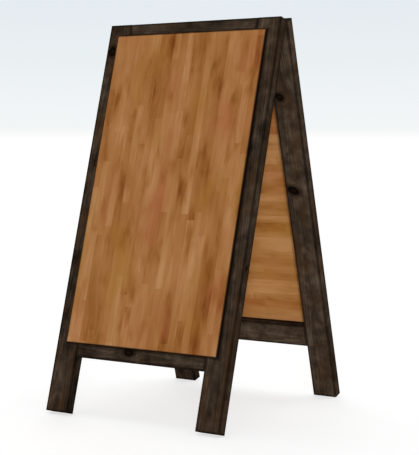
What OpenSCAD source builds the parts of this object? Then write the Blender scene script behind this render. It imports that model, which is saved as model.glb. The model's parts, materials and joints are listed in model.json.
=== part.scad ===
// A-frame pavement sign: two framed boards, hinged near their tops and standing open like a tent.
// Millimetres. +X is to the viewer's right, +Z is up and the front leaf leans towards -Y.
// The origin is on the ground, under the middle of the sign.
// Each leaf is drawn upright, with the hinge pin's axis as its own origin, and then swung out.
// The pins sit a little below the tops. As the legs spread, the square-cut tops of the stiles
// close on each other, and where they meet the legs can spread no further.

/* [Leaves] */
// Length of a leaf, measured along its slope
leaf_l = 1200; // [1000:10:1500]
// Width of a leaf
leaf_w = 600; // [540:5:800]
// Angle between the leaves when the sign stands open
spread = 32.5; // [28:0.5:42]
// Room left between the stile tops where they stop the spread
stop_gap = 0.3; // [0.2:0.1:0.8]

/* [Frame] */
// Width of a stile's face
stile_w = 77; // [64:1:95]
// Height of a rail's face
rail_h = 68; // [64:1:90]
// Thickness of the frame timber
frame_t = 32; // [27:1:44]
// Lower edge of the bottom rail above the foot of the leaf
rail_up = 168; // [80:1:260]
// Radius of the timber's eased long edges
arris = 1.2; // [0.4:0.2:3]

/* [Panels] */
// Thickness of the panel board
panel_t = 9; // [6:0.5:14]
// Frame left showing outside each edge of the panel
reveal = 38; // [24:1:44]
// Radius of the panel's eased outer edges
panel_arris = 1; // [0.4:0.2:3]

/* [Dowels] */
// Diameter of a dowel
dowel_d = 10; // [6:1:14]
// Length of a dowel, half of it in each timber
dowel_l = 60; // [40:2:64]
// Distance between the two dowels of a joint
dowel_pitch = 34; // [24:1:40]
// Chamfer on a dowel's ends
dowel_chamfer = 1; // [0.4:0.2:2]
// Room for glue beyond each end of a dowel
dowel_end_room = 1; // [0.5:0.5:3]

/* [Hinges] */
// Length of a hinge along its pin
hinge_l = 80; // [66:1:96]
// Hinge centre from the stile's inner edge
hinge_inset = 76; // [70:1:90]
// Reach of a hinge plate below the pin's axis
hinge_drop = 42; // [36:1:46]
// Thickness of a hinge plate
plate_t = 2.4; // [1.8:0.1:3]
// Corner radius of a hinge plate
plate_corner = 5; // [2:0.5:8]
// Screw centres from a plate's ends and long edges
hole_margin = 9.5; // [8:0.5:11]
// Shift of the lower screws towards the middle of the plate
hole_stagger = 14; // [10:1:18]
// Diameter of a hinge pin
pin_d = 5; // [4:0.5:7]
// Diameter of a pin's end head
pin_head_d = 7.6; // [7:0.1:9]
// Height of a pin's end head
pin_head_h = 1.4; // [0.8:0.1:2]
// Radial clearance of the pin in its knuckles
pin_clear = 0.05; // [0.03:0.01:0.1]
// Gap between neighbouring knuckles, and between a knuckle and the other leaf's timber
knuckle_gap = 0.3; // [0.2:0.1:0.6]
// Slit left where a knuckle's rolled end comes round to its plate
seam_w = 0.4; // [0.2:0.1:0.8]
// Angle of that slit from the plate's own direction
seam_turn = 30; // [10:1:32]

/* [Screws] */
// Shank diameter of the countersunk screws
screw_d = 4; // [3:0.5:5]
// Head diameter of the countersunk screws
screw_head_d = 8; // [7:0.2:9.6]
// Height of a screw's conical head
screw_head_h = 2; // [1.4:0.1:2.6]
// Length of a screw's pointed end
screw_point_l = 4; // [2:0.5:6]
// Diameter of a screw's tip
screw_tip_d = 0.8; // [0.4:0.1:1.2]
// Length of the hinge screws
hinge_screw_l = 25; // [16:1:28]
// Panel left uncut in front of a panel screw's point
screw_cover = 3; // [2:0.5:5]
// Panel screws in each stile
stile_screws = 4; // [2:1:6]
// Panel screws in each rail
rail_screws = 3; // [1:1:3]
// Radial clearance of dowels and screws in their holes
fastener_clear = 0.05; // [0.02:0.01:0.2]

/* [Hidden] */
$fn = 64;

LEFT = -1;
RIGHT = 1;
timber = "#3a2f25";
board = "#9b693d";
beech = "#c9a877";
steel = "#a3a6a8";
black_steel = "#2c2c2e";

// A cut runs this far past a face that it goes through
over = 1;

// The knuckles are the plate rolled round the pin
bore_r = pin_d / 2 + pin_clear;
knuckle_r = bore_r + plate_t;
knuckles = 5;
knuckle_pitch = hinge_l / knuckles;
front_knuckles = [for (i = [0 : 2 : knuckles - 1]) i];
rear_knuckles = [for (i = [1 : 2 : knuckles - 1]) i];

// The plates lie on the timber, so the pin's axis stands off each inner face by this much
pin_off = knuckle_r + knuckle_gap;

// Height of the tops above the pin at which the top edges meet when the sign stands open
lean = spread / 2;
top_z = (pin_off * cos(lean) - stop_gap / 2) / sin(lean);
foot_z = top_z - leaf_l;

// A leaf stands on the inner edges of its square-cut feet
pin_height = -foot_z * cos(lean) - pin_off * sin(lean);

rail_l = leaf_w - 2 * stile_w;
frame_mid_y = -pin_off - frame_t / 2;
frame_face_y = -pin_off - frame_t;
top_rail_z = top_z - rail_h / 2;
bottom_rail_z = foot_z + rail_up + rail_h / 2;

panel_w = leaf_w - 2 * reveal;
panel_top_z = top_z - reveal;
panel_foot_z = foot_z + rail_up + reveal;
panel_l = panel_top_z - panel_foot_z;

// Panel screws run down the middle of the band where the panel laps the frame
stile_screw_x = rail_l / 2 + (stile_w - reveal) / 2;
stile_screw_pitch = (leaf_l - rail_up - 2 * rail_h) / stile_screws;
rail_screw_pitch = rail_l / 6;
rail_lap_mid = (rail_h - reveal) / 2;
panel_screw_l = frame_t + panel_t - screw_cover;

hinge_x = rail_l / 2 - hinge_inset;
plate_top_z = -knuckle_r - knuckle_gap;
plate_face_y = -pin_off + plate_t;

// Hinge screws: an upper pair near the ends of the plate and a lower pair nearer its middle
upper_screw_x = hinge_l / 2 - hole_margin;
lower_screw_x = upper_screw_x - hole_stagger;
upper_screw_z = plate_top_z - hole_margin;
lower_screw_z = -hinge_drop + hole_margin;

// Swings a leaf that is drawn upright out to where it stands
module stand_front() {
    translate([0, 0, pin_height]) rotate([-lean, 0, 0]) children();
}

module stand_rear() {
    mirror([0, 1, 0]) stand_front() children();
}

// Section of a planed timber with eased corners
module eased_section(w, h, r) {
    square([w - 2 * r, h], center = true);
    square([w, h - 2 * r], center = true);
    for (sx = [-1, 1], sy = [-1, 1])
        translate([sx * (w / 2 - r), sy * (h / 2 - r)]) circle(r);
}

// Countersunk screw, head face at the origin and point along +Z, grown by a clearance for its hole
module screw_shape(l, clear = 0) {
    rotate_extrude()
        polygon([
            [0, 0],
            [screw_head_d / 2 + clear, 0],
            [screw_d / 2 + clear, screw_head_h],
            [screw_d / 2 + clear, l - screw_point_l],
            [screw_tip_d / 2 + clear, l + clear],
            [0, l + clear]
        ]);
}

module screw_hole(l) {
    screw_shape(l, fastener_clear);
    translate([0, 0, -over]) cylinder(r = screw_head_d / 2 + fastener_clear, h = over);
}

// Dowel along X, centred on the joint between a stile and a rail
module dowel_shape() {
    straight = dowel_l - 2 * dowel_chamfer;
    rotate([0, 90, 0]) {
        cylinder(d = dowel_d, h = straight, center = true);
        for (end = [0, 1])
            mirror([0, 0, end]) translate([0, 0, straight / 2])
                cylinder(r1 = dowel_d / 2, r2 = dowel_d / 2 - dowel_chamfer, h = dowel_chamfer);
    }
}

module dowel_hole() {
    rotate([0, 90, 0])
        cylinder(r = dowel_d / 2 + fastener_clear, h = dowel_l + 2 * dowel_end_room, center = true);
}

// Places for the two dowels at each of the given joints
module at_dowels(sides = [LEFT, RIGHT], heights = [top_rail_z, bottom_rail_z]) {
    for (side = sides, z = heights, step = [-1, 1])
        translate([side * rail_l / 2, frame_mid_y, z + step * dowel_pitch / 2]) children();
}

// Places on the inner face for the panel screws of the stiles, pointing outwards
module at_stile_screws(sides = [LEFT, RIGHT]) {
    for (side = sides, i = [0 : stile_screws - 1])
        translate([side * stile_screw_x, -pin_off, top_z - rail_h - (i + 0.5) * stile_screw_pitch])
            rotate([90, 0, 0]) children();
}

module at_top_rail_screws() {
    for (i = [0 : rail_screws - 1])
        translate([(i - (rail_screws - 1) / 2) * rail_screw_pitch, -pin_off, top_z - rail_h + rail_lap_mid])
            rotate([90, 0, 0]) children();
}

module at_bottom_rail_screws() {
    for (i = [0 : rail_screws - 1])
        translate([(i - (rail_screws - 1) / 2) * rail_screw_pitch, -pin_off,
                   foot_z + rail_up + rail_h - rail_lap_mid])
            rotate([90, 0, 0]) children();
}

// Places for one hinge plate's screws, measured from the middle of the hinge
module at_hinge_screws() {
    for (side = [LEFT, RIGHT]) {
        translate([side * upper_screw_x, plate_face_y, upper_screw_z]) rotate([90, 0, 0]) children();
        translate([side * lower_screw_x, plate_face_y, lower_screw_z]) rotate([90, 0, 0]) children();
    }
}

module stile(side) {
    color(timber) difference() {
        translate([side * (leaf_w - stile_w) / 2, frame_mid_y, foot_z])
            linear_extrude(leaf_l) eased_section(stile_w, frame_t, arris);
        at_dowels([side]) dowel_hole();
        at_stile_screws([side]) screw_hole(panel_screw_l);
    }
}

module rail_blank(z) {
    translate([0, frame_mid_y, z])
        rotate([90, 0, 90]) linear_extrude(rail_l, center = true) eased_section(frame_t, rail_h, arris);
}

module top_rail() {
    color(timber) difference() {
        rail_blank(top_rail_z);
        at_dowels(heights = [top_rail_z]) dowel_hole();
        at_top_rail_screws() screw_hole(panel_screw_l);
        for (side = [LEFT, RIGHT])
            translate([side * hinge_x, 0, 0]) at_hinge_screws() screw_hole(hinge_screw_l);
    }
}

module bottom_rail() {
    color(timber) difference() {
        rail_blank(bottom_rail_z);
        at_dowels(heights = [bottom_rail_z]) dowel_hole();
        at_bottom_rail_screws() screw_hole(panel_screw_l);
    }
}

// Panel with all four edges of its outer face eased and its back left square
module panel_blank() {
    mid_z = (panel_top_z + panel_foot_z) / 2;
    deep = 2 * panel_t;
    back_y = frame_face_y;
    intersection() {
        translate([0, back_y, mid_z])
            linear_extrude(panel_l, center = true) eased_section(panel_w, deep, panel_arris);
        translate([0, back_y, mid_z]) rotate([90, 0, 90])
            linear_extrude(panel_w, center = true) eased_section(deep, panel_l, panel_arris);
        translate([-panel_w / 2 - over, back_y - deep, panel_foot_z - over])
            cube([panel_w + 2 * over, deep, panel_l + 2 * over]);
    }
}

module panel() {
    color(board) difference() {
        panel_blank();
        at_stile_screws() screw_hole(panel_screw_l);
        at_top_rail_screws() screw_hole(panel_screw_l);
        at_bottom_rail_screws() screw_hole(panel_screw_l);
    }
}

module dowels() {
    color(beech) at_dowels() dowel_shape();
}

module panel_screws() {
    color(black_steel) {
        at_stile_screws() screw_shape(panel_screw_l);
        at_top_rail_screws() screw_shape(panel_screw_l);
        at_bottom_rail_screws() screw_shape(panel_screw_l);
    }
}

// Outline of a hinge plate below its knuckles, with rounded lower corners
module plate_outline() {
    mid = -hinge_drop + plate_corner;
    translate([-hinge_l / 2, mid]) square([hinge_l, plate_top_z - mid]);
    translate([-hinge_l / 2 + plate_corner, -hinge_drop])
        square([hinge_l - 2 * plate_corner, plate_corner]);
    for (side = [LEFT, RIGHT])
        translate([side * (hinge_l / 2 - plate_corner), mid]) circle(plate_corner);
}

// One hinge plate, with its knuckles at the given places along the pin
module hinge_plate(places) {
    knuckle_l = knuckle_pitch - knuckle_gap;
    color(steel) difference() {
        union() {
            translate([0, plate_face_y, 0]) rotate([90, 0, 0]) linear_extrude(plate_t) plate_outline();
            for (i = places)
                translate([-hinge_l / 2 + i * knuckle_pitch + knuckle_gap / 2, 0, 0]) {
                    translate([0, -pin_off, plate_top_z]) cube([knuckle_l, plate_t, -plate_top_z]);
                    rotate([0, 90, 0]) cylinder(r = knuckle_r, h = knuckle_l);
                }
        }
        translate([-hinge_l / 2 - over, 0, 0]) rotate([0, 90, 0]) cylinder(r = bore_r, h = hinge_l + 2 * over);
        translate([-hinge_l / 2 - over, 0, 0]) rotate([-seam_turn, 0, 0])
            translate([0, -seam_w / 2, -pin_off]) cube([hinge_l + 2 * over, seam_w, pin_off]);
        at_hinge_screws() screw_hole(hinge_screw_l);
    }
}

// Pin with a low riveted head on each end
module hinge_pin() {
    half = hinge_l / 2;
    color(steel) rotate([0, 90, 0]) {
        cylinder(d = pin_d, h = hinge_l, center = true);
        for (end = [0, 1])
            mirror([0, 0, end]) translate([0, 0, half]) {
                cylinder(d = pin_head_d, h = pin_head_h / 2);
                translate([0, 0, pin_head_h / 2])
                    cylinder(d1 = pin_head_d, d2 = pin_d, h = pin_head_h / 2);
            }
    }
}

module hinge_screws() {
    color(steel) at_hinge_screws() screw_shape(hinge_screw_l);
}

module front_left_stile() { stand_front() stile(LEFT); }
module front_right_stile() { stand_front() stile(RIGHT); }
module front_top_rail() { stand_front() top_rail(); }
module front_bottom_rail() { stand_front() bottom_rail(); }
module front_panel() { stand_front() panel(); }
module front_dowels() { stand_front() dowels(); }
module front_panel_screws() { stand_front() panel_screws(); }

module rear_left_stile() { stand_rear() stile(LEFT); }
module rear_right_stile() { stand_rear() stile(RIGHT); }
module rear_top_rail() { stand_rear() top_rail(); }
module rear_bottom_rail() { stand_rear() bottom_rail(); }
module rear_panel() { stand_rear() panel(); }
module rear_dowels() { stand_rear() dowels(); }
module rear_panel_screws() { stand_rear() panel_screws(); }

module at_hinge(side) { translate([side * hinge_x, 0, 0]) children(); }
module front_plate(side) { at_hinge(side) stand_front() hinge_plate(front_knuckles); }
module rear_plate(side) { at_hinge(side) stand_rear() hinge_plate(rear_knuckles); }
module pin(side) { at_hinge(side) stand_front() hinge_pin(); }
module front_screws(side) { at_hinge(side) stand_front() hinge_screws(); }
module rear_screws(side) { at_hinge(side) stand_rear() hinge_screws(); }

front_left_stile();
front_right_stile();
front_top_rail();
front_bottom_rail();
front_panel();
front_dowels();
front_panel_screws();
rear_left_stile();
rear_right_stile();
rear_top_rail();
rear_bottom_rail();
rear_panel();
rear_dowels();
rear_panel_screws();
front_plate(LEFT);  // left_hinge_front_plate
rear_plate(LEFT);  // left_hinge_rear_plate
pin(LEFT);  // left_hinge_pin
front_screws(LEFT);  // left_hinge_front_screws
rear_screws(LEFT);  // left_hinge_rear_screws
front_plate(RIGHT);  // right_hinge_front_plate
rear_plate(RIGHT);  // right_hinge_rear_plate
pin(RIGHT);  // right_hinge_pin
front_screws(RIGHT);  // right_hinge_front_screws
rear_screws(RIGHT);  // right_hinge_rear_screws
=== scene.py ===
"""Looks of a folding timber pavement sign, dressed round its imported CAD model.

Lengths are in metres. A leaf's own coordinates start on the axis of the hinge pins: x across,
y through the thickness with the outer face on the negative side, and z up along the leaf. Grain,
knots and edges are laid out in them, so they stay on their boards in every pose.

A noise is given by its kind: grains in a metre along each axis, steps added to the material's
seed, and detail. A step is given by its start and end and, where they aren't 0 and 1, its levels
at these two.
"""

import json
import math
import random

import bpy
import numpy as np
from mathutils import Matrix, Vector


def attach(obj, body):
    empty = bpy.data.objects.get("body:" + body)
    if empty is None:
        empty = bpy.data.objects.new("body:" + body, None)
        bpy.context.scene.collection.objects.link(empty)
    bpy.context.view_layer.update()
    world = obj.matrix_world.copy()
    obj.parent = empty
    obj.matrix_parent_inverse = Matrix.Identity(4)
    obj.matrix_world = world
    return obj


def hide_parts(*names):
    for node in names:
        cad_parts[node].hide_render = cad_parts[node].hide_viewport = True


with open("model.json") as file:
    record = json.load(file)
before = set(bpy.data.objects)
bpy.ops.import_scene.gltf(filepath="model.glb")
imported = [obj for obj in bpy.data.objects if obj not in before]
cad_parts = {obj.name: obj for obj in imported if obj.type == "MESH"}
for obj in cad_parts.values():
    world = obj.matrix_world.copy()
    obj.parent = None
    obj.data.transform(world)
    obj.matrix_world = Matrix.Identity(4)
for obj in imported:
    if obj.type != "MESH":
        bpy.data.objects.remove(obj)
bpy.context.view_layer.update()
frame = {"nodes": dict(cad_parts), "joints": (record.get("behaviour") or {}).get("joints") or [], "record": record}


def srgb(red, green, blue):
    """Linear colour that shows as these 8-bit screen values, by the curve of the sRGB standard."""

    def linear(level):
        level /= 255
        return level / 12.92 if level <= 0.04045 else ((level + 0.055) / 1.055) ** 2.4

    return (linear(red), linear(green), linear(blue), 1.0)


def grey(level):
    """Grey of a linear level."""
    return (level, level, level, 1.0)


# Camera, solved from the edges of the photographed sign. The photograph is cropped off centre,
# which the sideways shift repeats.
CAMERA_PLACE = (2.1952, -3.4672, 0.8125)
CAMERA_TURN = math.radians(34.380)
CAMERA_DIP = math.radians(3.775)
CAMERA_LENS = 107.1
CAMERA_SHIFT = 0.1308
CAMERA_FAR = 6000.0

# Floor: its colour where it is seen, with a glow added, and its colour where it lights the sign
FLOOR_REACH = 2500.0
FLOOR_DROP = 0.0003
FLOOR_SEEN = grey(0.55)
FLOOR_BOUNCE = grey(0.80)
FLOOR_GLOW = 0.65
WHITE = grey(1.0)

# Light: an even sky, and soft suns with their direction, strength and angular size in degrees
SKY_LIGHT = grey(0.24)
SUNS = {
    "key": ((0.55, -0.83, 0.07), 2.55, 14),
    "back": ((-0.60, 0.78, 0.18), 1.4, 40),
    "top": ((0.00, 0.25, 0.97), 0.8, 50),
    "fill": ((-0.95, 0.05, 0.30), 0.5, 60),
}

# Screen colours of the backdrop by the height of the direction looked in
SKY_TONES = [
    (0.002, srgb(255, 255, 255)),
    (0.003, srgb(250, 250, 250)),
    (0.007, srgb(243, 246, 247)),
    (0.035, srgb(239, 243, 245)),
    (0.057, srgb(234, 240, 242)),
    (0.090, srgb(230, 236, 241)),
    (0.600, srgb(214, 224, 232)),
]

# Distances in noise space between one seed and the next, and between the axes
SEED_STRIDE = 17.3
AXIS_STRIDE = 5.1

# Orders of a leaf's axes: along the grain, across it and through the thickness
UPRIGHT = (2, 0, 1)
LEVEL = (0, 2, 1)

# A point closer to a face than this counts as on it, and one at twice this is off it
FACE_GAP = 0.0004


class Graph:
    """Writes a node tree as nested calls. A value is a number, a tuple or another node's output."""

    def __init__(self, tree):
        self.tree = tree
        tree.nodes.clear()

    def node(self, kind, values=None, **settings):
        made = self.tree.nodes.new("ShaderNode" + kind)
        for name, value in settings.items():
            setattr(made, name, value)
        for key, value in (values or {}).items():
            if isinstance(value, bpy.types.NodeSocket):
                self.tree.links.new(value, made.inputs[key])
            else:
                made.inputs[key].default_value = value
        return made

    def math(self, operation, *values):
        return self.node("Math", dict(enumerate(values)), operation=operation).outputs[0]

    def scaled(self, value, factor, added):
        """The value times a factor, with something added."""
        return self.math("MULTIPLY_ADD", value, factor, added)

    def split(self, vector):
        return self.node("SeparateXYZ", {0: vector}).outputs[:]

    def join(self, x, y, z):
        return self.node("CombineXYZ", {0: x, 1: y, 2: z}).outputs[0]

    def length(self, x, y, z=0.0):
        return self.node("VectorMath", {0: self.join(x, y, z)}, operation="LENGTH").outputs[1]

    def step(self, value, start, end, low=0.0, high=1.0):
        """Goes smoothly from low to high as the value goes from start to end."""
        values = {"Value": value, "From Min": start, "From Max": end, "To Min": low, "To Max": high}
        return self.node("MapRange", values, interpolation_type="SMOOTHSTEP").outputs[0]

    def noise(self, vector, kind, seed):
        """Noise of a kind, about 0.5."""
        stretch, steps, detail = kind
        start = tuple(SEED_STRIDE * (seed + steps) + AXIS_STRIDE * axis for axis in range(3))
        placed = self.node("Mapping", {"Vector": vector, "Location": start, "Scale": stretch})
        values = {"Vector": placed.outputs[0], "Scale": 1.0, "Detail": detail}
        return self.node("TexNoise", values).outputs[0]

    def vary(self, tone, noise, share):
        """Adds a share of a noise to a tone, whose level stays the same on average."""
        return self.scaled(self.math("SUBTRACT", noise, 0.5), share, tone)

    def chance(self, x, y, seed):
        """Three random numbers that are the same wherever x and y are the same."""
        made = self.node("TexWhiteNoise", {"Vector": self.join(x, y, seed)}, noise_dimensions="3D")
        return self.node("SeparateColor", {0: made.outputs[1]}).outputs[:]

    def ramp(self, value, tones):
        made = self.node("ValToRGB", {0: value})
        stops = made.color_ramp.elements
        while len(stops) < len(tones):
            stops.new(1.0)
        for stop, (place, colour) in zip(stops, tones):
            stop.position = place
            stop.color = colour
        return made.outputs[0]

    def mix(self, share, first, second, blend="MIX"):
        """Mixes two colours. The node's inputs for these are 6 and 7."""
        values = {0: share, 6: first, 7: second}
        return self.node("Mix", values, data_type="RGBA", blend_type=blend).outputs[2]

    def shade(self, value):
        """Grey of a value."""
        return self.node("CombineColor", {0: value, 1: value, 2: value}).outputs[0]

    def bump(self, height, depth):
        return self.node("Bump", {"Height": height, "Distance": depth, "Strength": 1.0}).outputs[0]

    def surface(self, values):
        """Ends a material's graph with its shader."""
        shader = self.node("BsdfPrincipled", values)
        self.node("OutputMaterial", {"Surface": shader.outputs[0]})


def new_material(name):
    material = bpy.data.materials.new(name)
    material.use_nodes = True
    return material, Graph(material.node_tree)


class Leaf:
    """A leaf's body and its own coordinates, from its face mount and the hinge joint."""

    def __init__(self, body, mount, side):
        record = frame["record"]
        axis = next(m["axis"] for m in record["mounts"] if m["name"] == mount)
        pin = Vector(frame["joints"][0]["pos_m"])
        self.body = body
        self.lean = math.asin(axis[2])
        self.scale = (1, side, 1)
        turn = Matrix.Rotation(self.lean, 4, "X")
        self.start = turn @ -pin
        self.from_frame = turn @ Matrix.Translation(-pin) @ Matrix.Diagonal((1, side, 1, 1))
        self.to_frame = self.from_frame.inverted()

    def points(self, node):
        """A CAD node's vertices in the leaf's coordinates."""
        mesh = frame["nodes"][node].data
        return np.array([self.from_frame @ v.co for v in mesh.vertices])


class Board:
    """A board's box in its leaf's coordinates, and the order of its axes."""

    def __init__(self, node, leaf, order):
        points = leaf.points(node)
        self.node = node
        self.leaf = leaf
        self.order = order
        self.middle = Vector((points.min(0) + points.max(0)) / 2)
        self.half = (points.max(0) - points.min(0)) / 2

    def halves(self):
        """Half the board's length, width and thickness."""
        return [float(self.half[axis]) for axis in self.order]

    def space(self, g):
        """Distances from the board's middle along the grain, across it and through the thickness."""
        values = {
            "Vector": g.node("TexCoord").outputs["Object"],
            "Location": self.leaf.start - self.middle,
            "Rotation": (self.leaf.lean, 0, 0),
            "Scale": self.leaf.scale,
        }
        local = g.split(g.node("Mapping", values).outputs[0])
        return [local[axis] for axis in self.order]


def gaps_to_faces(g, places, halves):
    """Distance from a point to the board's nearest face along each of its axes."""
    return [g.math("SUBTRACT", half, g.math("ABSOLUTE", p)) for p, half in zip(places, halves)]


def edge_distance(g, gaps):
    """Distance along a face to its nearest edge: the middle one of the three gaps."""
    first, second, third = gaps
    low = g.math("MINIMUM", first, second)
    high = g.math("MAXIMUM", first, second)
    return g.math("MAXIMUM", low, g.math("MINIMUM", high, third))


def panel_distance(g, board, panel, u, v):
    """Distance on a board's face outside the outline of the panel that is fixed over it."""
    shift = panel.middle - board.middle
    sides = []
    for place, axis in ((u, board.order[0]), (v, board.order[1])):
        offset = g.math("ABSOLUTE", g.math("SUBTRACT", place, shift[axis]))
        sides.append(g.math("SUBTRACT", offset, float(panel.half[axis])))
    return g.math("MAXIMUM", *sides)


def gap_to_seam(g, counted, pitch):
    """Distance to the nearest seam, where the number of pitches counted is whole."""
    off_middle = g.math("ABSOLUTE", g.math("SUBTRACT", g.math("FRACT", counted), 0.5))
    return g.math("MULTIPLY", g.math("SUBTRACT", 0.5, off_middle), pitch)


# Stained frame timber
FRAME_PARTS = {
    "left_stile": UPRIGHT,
    "right_stile": UPRIGHT,
    "top_rail": LEVEL,
    "bottom_rail": LEVEL,
}
TIMBER_SEED = 11
TIMBER_NOISES = {
    "sway": ((2.2, 7, 7), 0, 3),
    "ragged": ((60, 260, 260), 1, 2),
    "fibre": ((28, 850, 850), 2, 3),
    "streak": ((6, 110, 110), 3, 2),
    "mottle": ((32, 36, 36), 5, 3),
    "cloud": ((5, 14, 14), 4, 3),
    "warmth": ((9, 30, 30), 6, 2),
}
RAGGED_SPAN = 0.9

# Year rings round a pith line beside the board: its place as a share of the half width, and its
# distance from the middle of the thickness
PITH_SIDE = 0.6
PITH_NEAR = 0.035
PITH_FAR = 0.07
RING_PITCH = 0.0034
RING_SWAY = 0.016
RING_TAPER = 5.0
RING_RAGGED = 0.4
LATE_RISE = (0.25, 0.85)
LATE_FALL = (0.90, 1.00, 1.0, 0.0)

# Tone of the stain: a level, a random spread from board to board, and the shares of the noises
STAIN_LEVEL = 0.615
STAIN_SPREAD = 0.03
# Lifts of single boards; those of the rear stile and rail are partly painted light that makes up for their shade
# between the leaves
BOARD_TONE_AND_LIGHT_LIFT = {
    "front_top_rail": -0.070,
    "front_left_stile": -0.140,
    "rear_right_stile": 0.035,
    "rear_bottom_rail": 0.050,
}
LATE_SHARE = -0.15
STAIN_SHARES = {"fibre": 0.14, "streak": 0.18, "mottle": 0.85, "cloud": 0.75}
STAIN_TONES = [
    (0.00, srgb(16, 12, 9)),
    (0.30, srgb(39, 31, 24)),
    (0.55, srgb(61, 50, 40)),
    (0.80, srgb(85, 71, 58)),
    (1.00, srgb(110, 94, 78)),
]
WARM_STAIN = srgb(69, 47, 29)
WARM_FROM = 0.44
WARM_TO = 0.66
WARM_SHARES = {UPRIGHT: 0.50, LEVEL: 0.22}

# Knots: rings bend round them, a dark halo fades outwards, and their own rings go by KNOT_TONES
KNOT_RAGGED = 0.35
KNOT_SPREAD = -0.30
KNOT_PUSH = -3.2
KNOT_CORE = (0.78, 1.14, 1.0, 0.0)
KNOT_HALO = srgb(17, 11, 7)
HALO_FADE = (1.0, 2.0, 0.60, 0.0)
KNOT_TONE_RAGGED = 0.3
KNOT_TONES = [
    (0.00, srgb(15, 9, 5)),
    (0.28, srgb(33, 20, 12)),
    (0.60, srgb(15, 9, 5)),
    (1.00, srgb(5, 3, 2)),
]

# Knots that the photograph shows. On a face they are placed by x, and on a side by their depth
# under the inner face. The distance below is from the leaf's top.
SHOWN_KNOTS = {
    "front_left_stile": [dict(x=-0.280, below=0.085, long_reach=0.0165, cross_reach=0.0130)],
    "front_right_stile": [dict(depth=0.017, below=0.735, long_reach=0.007, cross_reach=0.005)],
    "rear_right_stile": [
        dict(x=0.2480, below=0.518, long_reach=0.0120, cross_reach=0.0200, tilt=22),
        dict(x=0.2430, below=0.228, long_reach=0.0095, cross_reach=0.0140, tilt=30),
    ],
    "front_bottom_rail": [dict(x=-0.038, below=1.005, long_reach=0.0165, cross_reach=0.0100)],
}

# Darker tone of the sawn ends, painted shade on the narrow sides, and painted shade along the edges and in the
# corners beside the panel
END_GRAIN_SHADE = 0.62
NARROW_SIDE_SHADE = 0.90
EDGE_SHADE_RAGGED = 0.0012
EDGE_SHADE_FADE = (0.0026, 0.0080, 0.60, 0.0)
PAINTED_SHADE_TONE = srgb(5, 4, 3)
CORNER_SHADE_FADE = (0.0030, 0.0075, 0.50, 0.0)

# Relief and roughness
LATE_HEIGHT = 0.35
FIBRE_HEIGHT = 0.9
STREAK_HEIGHT = 0.6
GRAIN_DEPTH = 0.0005
TIMBER_ROUGH = 0.62
TIMBER_ROUGH_SPAN = 0.25


class Knot:
    """A knot at a place on a board, with its reach along the grain and across it, and its tilt.

    On a face it runs through the thickness, and on a side it runs across the width.
    """

    def __init__(self, along, across, long_reach, cross_reach, tilt, on_side):
        self.along = along
        self.across = across
        self.long_reach = long_reach
        self.cross_reach = cross_reach
        self.tilt = math.radians(tilt)
        self.on_side = on_side

    def distance(self, g, u, v, w):
        """Distance from the knot's middle, 1 at its rim."""
        cos, sin = math.cos(self.tilt), math.sin(self.tilt)
        off_u = g.math("SUBTRACT", u, self.along)
        off_v = g.math("SUBTRACT", w if self.on_side else v, self.across)
        along = g.scaled(off_v, sin, g.math("MULTIPLY", off_u, cos))
        across = g.scaled(off_v, cos, g.math("MULTIPLY", off_u, -sin))
        along = g.math("DIVIDE", along, self.long_reach)
        across = g.math("DIVIDE", across, self.cross_reach)
        return g.length(along, across)


def knot_on(board, leaf_top, below, long_reach, cross_reach, x=0.0, depth=None, tilt=0.0):
    """A knot on a face of a board, or on its side where a depth is given."""
    place = (x, 0.0, leaf_top - below)
    along, across, _ = [place[axis] - board.middle[axis] for axis in board.order]
    on_side = depth is not None
    if on_side:
        across = board.half[1] - depth
    return Knot(along, across, long_reach, cross_reach, tilt, on_side)


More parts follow.
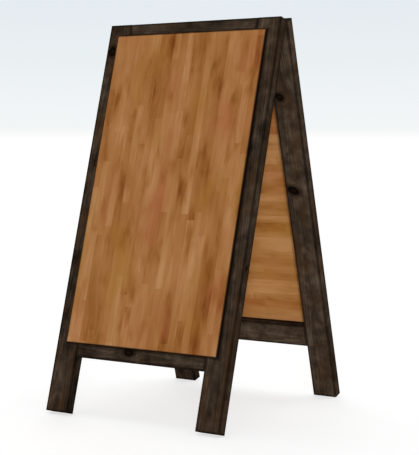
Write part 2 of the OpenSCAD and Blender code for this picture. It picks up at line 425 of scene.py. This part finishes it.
def timber_material(board, panel, seed, knots):
    """Dark-stained softwood with year rings, fibres and knots, and painted shade along its edges, on its narrow
    sides and in the corner beside the panel.
    """
    material, g = new_material(board.node + "_timber")
    draw = random.Random(seed)
    u, v, w = board.space(g)
    uvw = g.join(u, v, w)
    halves = board.halves()
    noises = {name: g.noise(uvw, kind, seed) for name, kind in TIMBER_NOISES.items()}

    # Year rings
    pith_v = draw.uniform(-PITH_SIDE, PITH_SIDE) * halves[1]
    pith_w = draw.choice((-1, 1)) * draw.uniform(PITH_NEAR, PITH_FAR)
    sway = g.scaled(noises["sway"], RING_SWAY, -RING_SWAY / 2)
    off_v = g.math("ADD", g.math("SUBTRACT", v, pith_v), sway)
    off_w = g.math("SUBTRACT", w, pith_w)
    radius = g.length(0.0, off_v, off_w)
    phase = g.scaled(radius, 1 / RING_PITCH, g.math("MULTIPLY", u, RING_TAPER))
    ragged = g.scaled(noises["ragged"], RAGGED_SPAN, -RAGGED_SPAN / 2)
    knot_core = None
    knot_place = None
    for knot in knots:
        away = g.math("ADD", knot.distance(g, u, v, w), g.math("MULTIPLY", ragged, KNOT_RAGGED))
        spread = g.math("MULTIPLY", g.math("MULTIPLY", away, away), KNOT_SPREAD)
        phase = g.scaled(g.math("EXPONENT", spread), KNOT_PUSH, phase)
        core = g.step(away, *KNOT_CORE)
        knot_core = core if knot_core is None else g.math("MAXIMUM", knot_core, core)
        knot_place = away if knot_place is None else g.math("MINIMUM", knot_place, away)
    ring = g.math("FRACT", g.scaled(ragged, RING_RAGGED, phase))
    late = g.math("MULTIPLY", g.step(ring, *LATE_RISE), g.step(ring, *LATE_FALL))

    # Stain
    lift = BOARD_TONE_AND_LIGHT_LIFT.get(board.node, 0.0)
    level = STAIN_LEVEL + draw.uniform(-STAIN_SPREAD, STAIN_SPREAD) + lift
    tone = g.scaled(late, LATE_SHARE, level)
    for name, share in STAIN_SHARES.items():
        tone = g.vary(tone, noises[name], share)
    colour = g.ramp(tone, STAIN_TONES)
    warm = g.step(noises["warmth"], WARM_FROM, WARM_TO, 0.0, WARM_SHARES[board.order])
    colour = g.mix(warm, colour, WARM_STAIN)

    # Darker sawn ends, painted shade on the narrow sides, knots, and painted shade along the edges and in the
    # corner beside the panel on the outer face
    gaps = gaps_to_faces(g, (u, v, w), halves)
    at_end = g.step(gaps[0], FACE_GAP, FACE_GAP * 2, END_GRAIN_SHADE, 1.0)
    # Painted shade darkens the narrow sides; the sawn ends are darker in tone
    edge_face_shade = g.step(gaps[1], FACE_GAP, FACE_GAP * 2, NARROW_SIDE_SHADE, 1.0)
    colour = g.mix(1.0, colour, g.shade(g.math("MULTIPLY", at_end, edge_face_shade)), "MULTIPLY")
    if knots:
        colour = g.mix(g.step(knot_place, *HALO_FADE), colour, KNOT_HALO)
        knot_tone = g.scaled(ragged, KNOT_TONE_RAGGED, knot_place)
        colour = g.mix(knot_core, colour, g.ramp(knot_tone, KNOT_TONES))
    # Painted shade: a dark band along every edge and joint of the board
    rim = g.step(g.scaled(ragged, EDGE_SHADE_RAGGED, edge_distance(g, gaps)), *EDGE_SHADE_FADE)
    # Painted shadow: a dark band on the outer face just outside the panel's outline
    corner = g.step(panel_distance(g, board, panel, u, v), *CORNER_SHADE_FADE)
    corner = g.math("MULTIPLY", corner, g.math("LESS_THAN", w, 0.0))
    colour = g.mix(g.math("MAXIMUM", rim, corner), colour, PAINTED_SHADE_TONE)

    height = g.scaled(late, LATE_HEIGHT, g.math("MULTIPLY", noises["fibre"], FIBRE_HEIGHT))
    height = g.scaled(noises["streak"], STREAK_HEIGHT, height)
    values = {
        "Base Color": colour,
        "Roughness": g.scaled(noises["fibre"], TIMBER_ROUGH_SPAN, TIMBER_ROUGH),
        "Specular IOR Level": 0.0,
        "Normal": g.bump(height, GRAIN_DEPTH),
    }
    g.surface(values)
    return material


# Glued panel boards: staves side by side and end to end. Numbers of single staves are drawn with
# STAVE_SEED added to the seed.
STAVE_WIDTH = 0.0238
STAVE_SHORT = 0.18
STAVE_LONG = 0.42
STAVE_SEED = 0.5

# Noises inside a stave, in patches that step from stave to stave, and right across the board.
# A stave shifts the first by up to GRAIN_JUMP along and through, and the second by PATCH_JUMP.
STAVE_NOISES = {"fibre": ((16, 900, 900), 1, 3), "figure": ((13, 120, 120), 2, 3)}
PATCH_NOISES = {"band": ((3.5, 20, 20), 7, 3), "blotch": ((8.5, 23, 23), 3, 3)}
WIDE_NOISES = {"cloud": ((3, 8, 8), 4, 2), "flush": ((5, 11, 11), 6, 2)}
GRAIN_JUMP = (3.0, 5.0)
PATCH_JUMP = 0.07

# Tone of the staves: shares of each stave's random number, the noises and the dark blotches
STAVE_SHARE = 0.29
PANEL_FIBRE_SHARE = 0.26
FIGURE_SHARE = 0.36
BAND_SHARE = 0.92
BLOTCH_SHARE = -0.42
BLOTCH_RISE = (0.46, 0.80)
PANEL_CLOUD_SHARE = 0.90
BOARD_TONES = [
    (0.00, srgb(114, 62, 24)),
    (0.25, srgb(139, 87, 42)),
    (0.50, srgb(158, 107, 61)),
    (0.75, srgb(173, 124, 79)),
    (1.00, srgb(190, 143, 102)),
]

# Redder and yellower staves, and redder and yellower places on the board
RED_TONE = srgb(165, 96, 62)
YELLOW_TONE = srgb(158, 112, 48)
RED_STAVE = (0.66, 1.0, 0.0, 0.12)
RED_FLUSH = (0.52, 0.76, 0.0, 0.48)
YELLOW_STAVE = (0.38, 0.0, 0.0, 0.12)
YELLOW_FLUSH = (0.48, 0.24, 0.0, 0.52)

# Seams between staves
GLUE_LINE = (0.0, 0.00035, 0.45, 0.0)
GLUE_TONE = srgb(92, 52, 24)

# Painted shade: dark edge faces, and thin dark lines round the face beside them, darkest over the core share of
# each line next to the edge
PANEL_EDGE_SHADE_TONE = srgb(22, 15, 11)
PANEL_SIDE_SHADE_LINE = 0.0058
PANEL_END_SHADE_LINE = 0.0044
SHADE_LINE_CORE = 0.3
SHADE_LINE_DARK = 0.9

# Relief and roughness
PANEL_FIBRE_HEIGHT = 0.5
SEAM_HEIGHT = -0.8
PANEL_DEPTH = 0.00025
PANEL_ROUGH = 0.44
PANEL_ROUGH_SPAN = 0.22

# Seed, contrast, tone and tint of each panel. The rear one's higher tone and its tint are painted
# light, making up for the shade and the cooler light between the leaves.
PANEL_LOOKS = {
    "front_panel": (3, 0.98, 0.600, WHITE),
    "rear_panel": (8, 1.0, 0.79, (1.0, 0.95, 0.77, 1.0)),
}


def panel_material(board, seed, contrast, level, light_offset_tint):
    """Narrow staves of mixed tone, glued side by side and end to end."""
    material, g = new_material(board.node + "_staves")
    u, v, w = board.space(g)
    uvw = g.join(u, v, w)
    halves = board.halves()

    # Each row of staves has its own length and start, and each stave its own three numbers
    across = g.math("DIVIDE", g.math("ADD", v, halves[1]), STAVE_WIDTH)
    row = g.math("FLOOR", across)
    length_draw, start_draw, _ = g.chance(row, 0.0, seed)
    length = g.scaled(length_draw, STAVE_LONG - STAVE_SHORT, STAVE_SHORT)
    along = g.math("ADD", g.math("DIVIDE", g.math("ADD", u, halves[0]), length), start_draw)
    stave = g.math("FLOOR", along)
    tone_draw, hue_draw, jump_draw = g.chance(row, stave, seed + STAVE_SEED)

    # Noises
    jumps = [g.scaled(jump_draw, jump, place) for jump, place in zip(GRAIN_JUMP, (u, w))]
    in_stave = g.join(jumps[0], v, jumps[1])
    in_patch = g.join(g.scaled(jump_draw, PATCH_JUMP, u), v, w)
    noises = {}
    for space, kinds in ((in_stave, STAVE_NOISES), (in_patch, PATCH_NOISES), (uvw, WIDE_NOISES)):
        for name, kind in kinds.items():
            noises[name] = g.noise(space, kind, seed)

    # Colour
    # On the rear panel the higher level is painted light that makes up for its shade
    tone = g.vary(level, tone_draw, STAVE_SHARE * contrast)
    tone = g.vary(tone, noises["fibre"], PANEL_FIBRE_SHARE)
    tone = g.vary(tone, noises["figure"], FIGURE_SHARE * contrast)
    tone = g.vary(tone, noises["band"], BAND_SHARE * contrast)
    tone = g.scaled(g.step(noises["blotch"], *BLOTCH_RISE), BLOTCH_SHARE, tone)
    tone = g.vary(tone, noises["cloud"], PANEL_CLOUD_SHARE)
    colour = g.ramp(tone, BOARD_TONES)
    colour = g.mix(g.step(hue_draw, *RED_STAVE), colour, RED_TONE)
    colour = g.mix(g.step(noises["flush"], *RED_FLUSH), colour, RED_TONE)
    colour = g.mix(g.step(hue_draw, *YELLOW_STAVE), colour, YELLOW_TONE)
    colour = g.mix(g.step(noises["flush"], *YELLOW_FLUSH), colour, YELLOW_TONE)
    # Painted light: on the rear panel this tint makes up for the cooler light between the leaves
    colour = g.mix(1.0, colour, light_offset_tint, "MULTIPLY")

    # Seams between rows and at the ends of staves
    side_gap = gap_to_seam(g, across, STAVE_WIDTH)
    end_gap = gap_to_seam(g, along, length)
    seam = g.step(g.math("MINIMUM", side_gap, end_gap), *GLUE_LINE)
    colour = g.mix(seam, colour, GLUE_TONE)

    # Painted shade on the edge faces and in thin lines round the face
    gaps = gaps_to_faces(g, (u, v, w), halves)
    edge_face_shade = g.step(g.math("MINIMUM", gaps[0], gaps[1]), FACE_GAP, FACE_GAP * 2, 1.0, 0.0)
    end_shade_line = g.step(gaps[0], PANEL_END_SHADE_LINE * SHADE_LINE_CORE, PANEL_END_SHADE_LINE, SHADE_LINE_DARK, 0.0)
    side_shade_line = g.step(gaps[1], PANEL_SIDE_SHADE_LINE * SHADE_LINE_CORE, PANEL_SIDE_SHADE_LINE, SHADE_LINE_DARK, 0.0)
    dark = g.math("MAXIMUM", edge_face_shade, g.math("MAXIMUM", end_shade_line, side_shade_line))
    colour = g.mix(dark, colour, PANEL_EDGE_SHADE_TONE)

    height = g.scaled(noises["fibre"], PANEL_FIBRE_HEIGHT, g.math("MULTIPLY", seam, SEAM_HEIGHT))
    values = {
        "Base Color": colour,
        "Roughness": g.scaled(noises["fibre"], PANEL_ROUGH_SPAN, PANEL_ROUGH),
        "Specular IOR Level": 0.0,
        "Normal": g.bump(height, PANEL_DEPTH),
    }
    g.surface(values)
    return material


# Beech of the dowels
BEECH_SEED = 31
BEECH_FIBRE = ((30, 900, 900), 0, 3)
BEECH_FLECK = ((160, 1500, 1500), 1, 1)
BEECH_TONE_SPAN = 0.9
BEECH_TONE_START = 0.05
BEECH_TONES = [(0.2, srgb(176, 140, 98)), (0.8, srgb(218, 186, 142))]
FLECK_RISE = (0.62, 0.72, 0.0, 0.5)
FLECK_TONE = srgb(140, 98, 60)
BEECH_ROUGH = 0.5
BEECH_ROUGH_SPAN = 0.2
BEECH_DEPTH = 0.0002


def dowel_material():
    """Pale plain beech with short dark flecks."""
    material, g = new_material("beech_dowels")
    space = g.node("TexCoord").outputs["Object"]
    fibre = g.noise(space, BEECH_FIBRE, BEECH_SEED)
    fleck = g.noise(space, BEECH_FLECK, BEECH_SEED)
    colour = g.ramp(g.scaled(fibre, BEECH_TONE_SPAN, BEECH_TONE_START), BEECH_TONES)
    colour = g.mix(g.step(fleck, *FLECK_RISE), colour, FLECK_TONE)
    values = {
        "Base Color": colour,
        "Roughness": g.scaled(fibre, BEECH_ROUGH_SPAN, BEECH_ROUGH),
        "Normal": g.bump(fibre, BEECH_DEPTH),
    }
    g.surface(values)
    return material


# Plated steel
PLATING_CLOUD = ((70, 70, 70), 1, 4)
PLATING_SPOT = ((420, 420, 420), 2, 2)
PLATE_LINES = ((40, 1200, 1200), 0, 3)
PIN_LINES = ((1500, 60, 60), 0, 3)
SCREW_LINES = ((300, 300, 300), 0, 3)
SPOT_RISE = (0.60, 0.70)
LINES_SHARE = 0.5
PLATING_CLOUD_SHARE = 0.5
SPOT_SHARE = 0.25
CLOUD_ROUGH = 0.25
CLOUD_ROUGH_START = 0.12
SPOT_ROUGH = 0.15
LINES_HEIGHT = 0.6
SPOT_HEIGHT = 0.4
PLATING_DEPTH = 0.00006
ZINC_TONES = [(0.25, srgb(160, 163, 166)), (0.75, srgb(206, 208, 209))]
BLACK_TONES = [(0.25, srgb(26, 25, 25)), (0.75, srgb(50, 48, 47))]

# Seed, tones, roughness, metallic level and lines of each plated material
PLATINGS = {
    "zinc_plate": (41, ZINC_TONES, 0.38, 1.0, PLATE_LINES),
    "zinc_pin": (43, ZINC_TONES, 0.30, 1.0, PIN_LINES),
    "zinc_screw": (45, ZINC_TONES, 0.34, 1.0, SCREW_LINES),
    "black_screw": (47, BLACK_TONES, 0.52, 0.6, SCREW_LINES),
}


def plated_material(name, seed, tones, rough, metal, line_kind):
    """Rolled and plated steel: drawn lines, a cloudy plating and small dull spots."""
    material, g = new_material(name)
    space = g.node("TexCoord").outputs["Object"]
    lines = g.noise(space, line_kind, seed)
    cloud = g.noise(space, PLATING_CLOUD, seed)
    spot = g.noise(space, PLATING_SPOT, seed)
    dull = g.step(spot, *SPOT_RISE)
    tone = g.scaled(lines, LINES_SHARE, g.math("MULTIPLY", cloud, PLATING_CLOUD_SHARE))
    colour = g.mix(g.math("MULTIPLY", dull, SPOT_SHARE), g.ramp(tone, tones), tones[0][1])
    roughness = g.scaled(cloud, CLOUD_ROUGH, rough - CLOUD_ROUGH_START)
    height = g.scaled(lines, LINES_HEIGHT, g.math("MULTIPLY", spot, SPOT_HEIGHT))
    values = {
        "Base Color": colour,
        "Metallic": metal,
        "Roughness": g.scaled(dull, SPOT_ROUGH, roughness),
        "Normal": g.bump(height, PLATING_DEPTH),
    }
    g.surface(values)
    return material


# Screws: countersunk heads with a cross recess, and a thread down to the point. Shares are of
# the length, and CROSS_ANGLES are the places of the rim's points between two arms, in degrees.
# Points that are less than SCREW_SPACING apart on the leaf belong to one screw.
CROSS_ARM = 0.00052
CROSS_REACH = 0.0024
CROSS_FLOOR = 0.42
CROSS_DEPTH = 0.0013
CROSS_ANGLES = (28, 45, 62)
HEAD_EDGE = 0.00018
HEAD_SHARE = 0.3
THREAD_PITCH = 0.0018
THREAD_DEPTH = 0.0006
THREAD_SHARPNESS = 1.5
THREAD_STEPS = 4
THREAD_SHARE = 0.66
POINT_SHARE = 0.16
TIP_RADIUS = 0.0004
SCREW_SPACING = 0.009
TINY = 1e-9

# Node, leaf, finish and seed of each set of screws
SCREW_SETS = [
    ("front_panel_screws", "front", "black", 51),
    ("rear_panel_screws", "rear", "black", 52),
    ("left_hinge_front_screws", "front", "zinc", 53),
    ("left_hinge_rear_screws", "rear", "zinc", 55),
    ("right_hinge_front_screws", "front", "zinc", 54),
    ("right_hinge_rear_screws", "rear", "zinc", 56),
]


def cross_outline():
    """Angles and radii of the rim of a cross recess."""
    corner = math.asin(CROSS_ARM / CROSS_REACH)
    between = [math.radians(angle) for angle in CROSS_ANGLES]
    quarter = [0.0, corner, *between, math.pi / 2 - corner]
    angles, radii = [], []
    for turn in range(4):
        for angle in quarter:
            side = min(math.sin(angle), math.cos(angle)) or TINY
            angles.append(angle + turn * math.pi / 2)
            radii.append(min(CROSS_REACH, CROSS_ARM / side))
    return np.array(angles), np.array(radii)


def screw_rings(head_radius, shank_radius, length):
    """Rings of points down a screw, from the floor of its recess to its tip."""
    angles, cross = cross_outline()
    flat = np.ones_like(angles)
    thread_start = length * (1 - THREAD_SHARE)
    point_start = length * (1 - POINT_SHARE)
    core = shank_radius - THREAD_DEPTH
    rings = [
        (cross * CROSS_FLOOR, CROSS_DEPTH),
        (cross, 0.0),
        (flat * (head_radius - HEAD_EDGE), 0.0),
        (flat * head_radius, HEAD_EDGE),
        (flat * shank_radius, head_radius - shank_radius),
        (flat * shank_radius, thread_start - THREAD_PITCH),
    ]
    steps = int((length - thread_start) / THREAD_PITCH * THREAD_STEPS)
    for k in range(steps):
        depth = thread_start + (length - thread_start) * k / steps
        turn = depth / THREAD_PITCH - angles / (2 * math.pi)
        crest = 1 - 2 * np.abs(turn - np.floor(turn) - 0.5)
        fade = min(1.0, (length - depth) / (length - point_start))
        radius = (core + THREAD_DEPTH * crest**THREAD_SHARPNESS) * fade + TIP_RADIUS * (1 - fade)
        rings.append((radius, depth))
    return angles, rings


def screw_mesh(places, leaf, draw):
    """Vertices and faces of screws whose heads lie at the given places."""
    vertices, faces = [], []
    for middle, head_radius, shank_radius, length in places:
        angles, rings = screw_rings(head_radius, shank_radius, length)
        spin = draw.uniform(0, math.pi)
        count = len(angles)
        base = len(vertices)
        for radius, depth in rings:
            xs = middle[0] + radius * np.cos(angles + spin)
            zs = middle[2] + radius * np.sin(angles + spin)
            vertices += [leaf.to_frame @ Vector((x, middle[1] - depth, z)) for x, z in zip(xs, zs)]
        for ring in range(len(rings) - 1):
            for k in range(count):
                a = base + ring * count + k
                b = base + ring * count + (k + 1) % count
                faces.append((a, b, b + count, a + count))
        last = base + (len(rings) - 1) * count
        for start, depth, turned in ((base, CROSS_DEPTH, False), (last, length, True)):
            hub = len(vertices)
            vertices.append(leaf.to_frame @ Vector((middle[0], middle[1] - depth, middle[2])))
            for k in range(count):
                edge = (start + k, start + (k + 1) % count)
                faces.append((hub, *(reversed(edge) if turned else edge)))
    return vertices, faces


def screw_places(node, leaf):
    """Head middle, head and shank radius and length of each screw in a CAD node."""
    points = leaf.points(node)
    places = []
    while len(points):
        near = np.hypot(*(points - points[0])[:, [0, 2]].T) < SCREW_SPACING
        one = points[near]
        points = points[~near]
        low, high = one.min(0), one.max(0)
        middle = (low + high) / 2
        middle[1] = high[1]
        length = high[1] - low[1]
        off = np.hypot(one[:, 0] - middle[0], one[:, 2] - middle[2])
        shank = off[one[:, 1] < high[1] - length * HEAD_SHARE].max()
        places.append((middle, off.max(), shank, length))
    return places


def make_screws(node, leaf, material, seed):
    """Replaces a CAD node of plain screws by threaded ones with cross recesses."""
    vertices, faces = screw_mesh(screw_places(node, leaf), leaf, random.Random(seed))
    mesh = bpy.data.meshes.new(node + "_threaded")
    mesh.from_pydata(vertices, [], faces)
    mesh.update()
    screws = bpy.data.objects.new(node + "_threaded", mesh)
    bpy.context.scene.collection.objects.link(screws)
    mesh.materials.append(material)
    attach(screws, leaf.body)
    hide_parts(node)


def shown_rays(g):
    """1 for rays that show the floor or sky, and 0 for those by which it lights the sign."""
    path = g.node("LightPath").outputs
    seen = g.math("MAXIMUM", path["Is Camera Ray"], path["Is Glossy Ray"])
    return g.math("MAXIMUM", seen, path["Is Transmission Ray"])


def make_floor():
    """Pale floor: white where it is seen, and a little greyer where it lights the sign."""
    reach = FLOOR_REACH
    corners = [(-reach, -reach), (reach, -reach), (reach, reach), (-reach, reach)]
    mesh = bpy.data.meshes.new("floor")
    mesh.from_pydata([(x, y, -FLOOR_DROP) for x, y in corners], [], [(0, 1, 2, 3)])
    floor = bpy.data.objects.new("floor", mesh)
    bpy.context.scene.collection.objects.link(floor)
    material, g = new_material("pale_floor")
    seen = shown_rays(g)
    diffuse = g.node("BsdfDiffuse", {"Color": g.mix(seen, FLOOR_BOUNCE, FLOOR_SEEN)})
    strength = g.math("MULTIPLY", seen, FLOOR_GLOW)
    glow = g.node("Emission", {"Color": WHITE, "Strength": strength})
    both = g.node("AddShader", {0: diffuse.outputs[0], 1: glow.outputs[0]})
    g.node("OutputMaterial", {"Surface": both.outputs[0]})
    mesh.materials.append(material)


def make_world():
    """Even light, with the pale sky gradient only for rays that show it."""
    world = bpy.data.worlds.new("studio")
    world.use_nodes = True
    bpy.context.scene.world = world
    g = Graph(world.node_tree)
    direction = g.node("TexCoord").outputs["Generated"]
    sky = g.ramp(g.split(direction)[2], SKY_TONES)
    colour = g.mix(shown_rays(g), SKY_LIGHT, sky)
    back = g.node("Background", {"Color": colour, "Strength": 1.0})
    g.node("OutputWorld", {"Surface": back.outputs[0]})


def make_suns():
    for name, (direction, strength, spread) in SUNS.items():
        light = bpy.data.lights.new(name, "SUN")
        light.energy = strength
        light.angle = math.radians(spread)
        sun = bpy.data.objects.new(name, light)
        sun.rotation_mode = "QUATERNION"
        sun.rotation_quaternion = Vector(direction).to_track_quat("Z", "Y")
        bpy.context.scene.collection.objects.link(sun)


def make_camera():
    data = bpy.data.cameras.new("camera")
    data.lens = CAMERA_LENS
    data.shift_x = CAMERA_SHIFT
    data.clip_end = CAMERA_FAR
    camera = bpy.data.objects.new("camera", data)
    camera.location = CAMERA_PLACE
    camera.rotation_euler = (math.pi / 2 - CAMERA_DIP, 0, CAMERA_TURN)
    bpy.context.scene.collection.objects.link(camera)
    bpy.context.scene.camera = camera


def dress(node, material):
    """Puts a material on every slot of a CAD node."""
    mesh = frame["nodes"][node].data
    if not mesh.materials:
        mesh.materials.append(material)
    for slot in range(len(mesh.materials)):
        mesh.materials[slot] = material


# Boards
FRONT = Leaf("front_leaf", "front_face", 1)
REAR = Leaf("rear_leaf", "rear_face", -1)
LEAVES = {"front": FRONT, "rear": REAR}
boards = {}
for word, leaf in LEAVES.items():
    for part, order in FRAME_PARTS.items():
        name = f"{word}_{part}"
        boards[name] = Board(name, leaf, order)
panels = {FRONT: Board("front_panel", FRONT, UPRIGHT), REAR: Board("rear_panel", REAR, LEVEL)}

leaf_top = FRONT.points("front_left_stile")[:, 2].max()
for seed, (name, board) in enumerate(boards.items(), start=TIMBER_SEED):
    knots = [knot_on(board, leaf_top, **spec) for spec in SHOWN_KNOTS.get(name, [])]
    dress(name, timber_material(board, panels[board.leaf], seed, knots))
for panel in panels.values():
    dress(panel.node, panel_material(panel, *PANEL_LOOKS[panel.node]))

# Dowels, hinges and screws
beech = dowel_material()
for word in LEAVES:
    dress(f"{word}_dowels", beech)
plated = {name: plated_material(name, *look) for name, look in PLATINGS.items()}
for side in ("left", "right"):
    dress(f"{side}_hinge_front_plate", plated["zinc_plate"])
    dress(f"{side}_hinge_rear_plate", plated["zinc_plate"])
    dress(f"{side}_hinge_pin", plated["zinc_pin"])

for node, word, finish, seed in SCREW_SETS:
    make_screws(node, LEAVES[word], plated[finish + "_screw"], seed)

# Stage, light and camera
make_floor()
make_world()
make_suns()
make_camera()
bpy.context.scene.view_settings.view_transform = "Standard"
